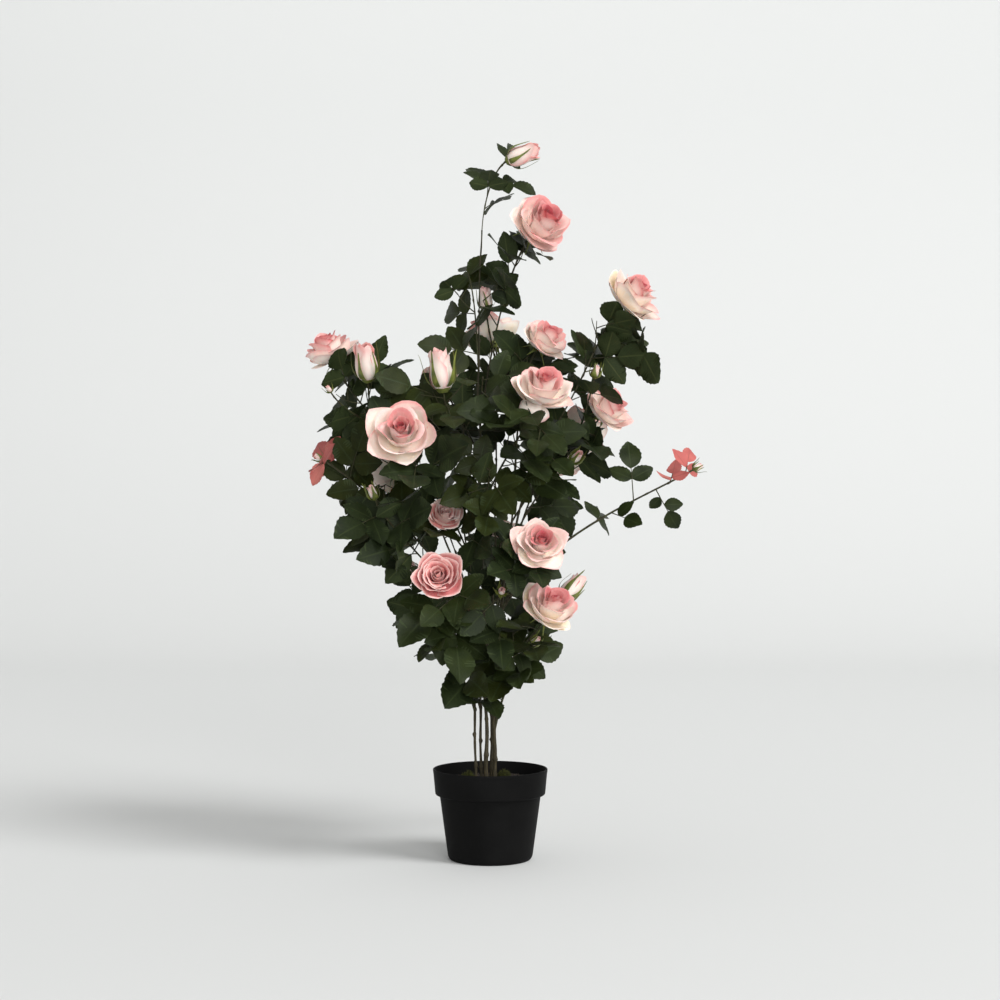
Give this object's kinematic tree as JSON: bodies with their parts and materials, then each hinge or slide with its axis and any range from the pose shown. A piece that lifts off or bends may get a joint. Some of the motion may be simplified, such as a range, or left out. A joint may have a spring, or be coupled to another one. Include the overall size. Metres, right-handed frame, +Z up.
{
  "type": "artificial rose bush",
  "caption": "Artificial rose bush with pink blooms, buds and leaves on slim upright canes, set in a round black plastic pot.",
  "frame": {"origin": "centre of the flat underside of the pot", "axes": "+Z up along the canes; +X to the viewer's right and +Y to the back, seen from the side with the most blooms"},
  "size_m": [0.5735, 0.3957, 1.0384],
  "materials": {
    "pot_plastic": "matte black moulded plastic",
    "filler_crumb": "dark crumbly fill over a cast plug",
    "moss": "dry olive moss tuft",
    "cane": "brown-olive moulded bark over wire",
    "foliage": "dark green printed fabric leaves with pale pink fabric blooms"
  },
  "bodies": {
    "root": {"pot": "pot_plastic", "filler": "filler_crumb", "moss_left": "moss", "moss_right": "moss", "cane_left": "cane", "cane_mid_left": "cane", "cane_tall": "cane", "cane_right": "cane", "cane_back": "cane", "bough_upper_rose": "cane", "bough_upper_mid": "cane", "bough_front_upper": "cane", "bough_right_mid": "cane", "bough_left_high": "cane", "bough_left_inner": "cane", "bough_low_left_rose": "cane", "bough_right_front": "cane", "bough_low_right_rose": "cane", "bough_right_inner": "cane", "bough_left_low": "cane", "bough_left_tip": "cane", "bough_right_shoot": "cane", "bough_back_high": "cane", "bough_back_right": "cane", "bough_back_left": "cane", "bough_back_low": "cane", "bough_back_low_right": "cane", "bough_back_low_left": "cane", "top_foliage": "foliage", "upper_rose_foliage": "foliage", "tall_leaves_foliage": "foliage", "right_high_foliage": "foliage", "upper_mid_foliage": "foliage", "back_upper_foliage": "foliage", "front_upper_foliage": "foliage", "right_mid_foliage": "foliage", "mid_bud_foliage": "foliage", "left_high_foliage": "foliage", "left_front_foliage": "foliage", "left_inner_foliage": "foliage", "low_left_rose_foliage": "foliage", "right_front_foliage": "foliage", "low_right_rose_foliage": "foliage", "right_inner_foliage": "foliage", "left_low_foliage": "foliage", "left_tip_foliage": "foliage", "right_shoot_foliage": "foliage", "front_low_foliage": "foliage", "low_left_foliage": "foliage", "low_right_foliage": "foliage", "inner_low_foliage": "foliage", "inner_mid_foliage": "foliage", "inner_high_foliage": "foliage", "back_high_foliage": "foliage", "back_right_foliage": "foliage", "back_left_foliage": "foliage", "back_low_foliage": "foliage", "back_low_right_foliage": "foliage", "back_low_left_foliage": "foliage"}
  },
  "joints": []
}
